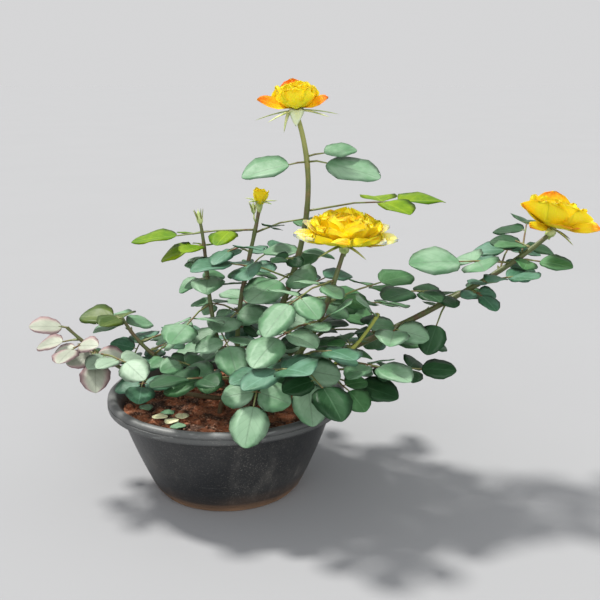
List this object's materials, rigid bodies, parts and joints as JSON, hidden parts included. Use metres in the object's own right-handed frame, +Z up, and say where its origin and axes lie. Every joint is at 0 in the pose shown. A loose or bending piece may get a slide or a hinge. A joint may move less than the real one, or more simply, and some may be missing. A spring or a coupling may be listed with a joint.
{
  "type": "potted rose bush",
  "caption": "Rose bush in a low, round, tapered black pot: woody crown, arching canes with compound leaves, open yellow-orange blooms and a half-open bud.",
  "frame": {"origin": "centre of the pot's flat underside", "axes": "+Z up along the pot's axis; the long arching cane and its bloom point to +X; -Y faces the viewer of the picture"},
  "size_m": [0.5936, 0.3702, 0.4486],
  "materials": {
    "pot": "satin black plastic, dusty and scuffed",
    "soil": "rough red-brown earth",
    "bark": "rough bark",
    "cane": "smooth green-brown cane",
    "foliage": "satin leaves, yellow-orange petals"
  },
  "bodies": {
    "root": {"pot": "pot", "soil": "soil", "crown": "bark", "top_cane": "cane", "top_shoot": "foliage", "centre_cane": "cane", "centre_shoot": "foliage", "right_cane": "cane", "right_shoot": "foliage", "bud_cane": "cane", "bud_shoot": "foliage", "left_cane": "cane", "left_shoot": "foliage", "low_left_cane": "cane", "low_left_shoot": "foliage", "far_left_cane": "cane", "far_left_shoot": "foliage", "front_cane": "cane", "front_shoot": "foliage", "front_right_cane": "cane", "front_right_shoot": "foliage", "low_right_cane": "cane", "low_right_shoot": "foliage", "back_cane": "cane", "back_shoot": "foliage", "back_left_cane": "cane", "back_left_shoot": "foliage", "back_right_cane": "cane", "back_right_shoot": "foliage"}
  },
  "joints": []
}
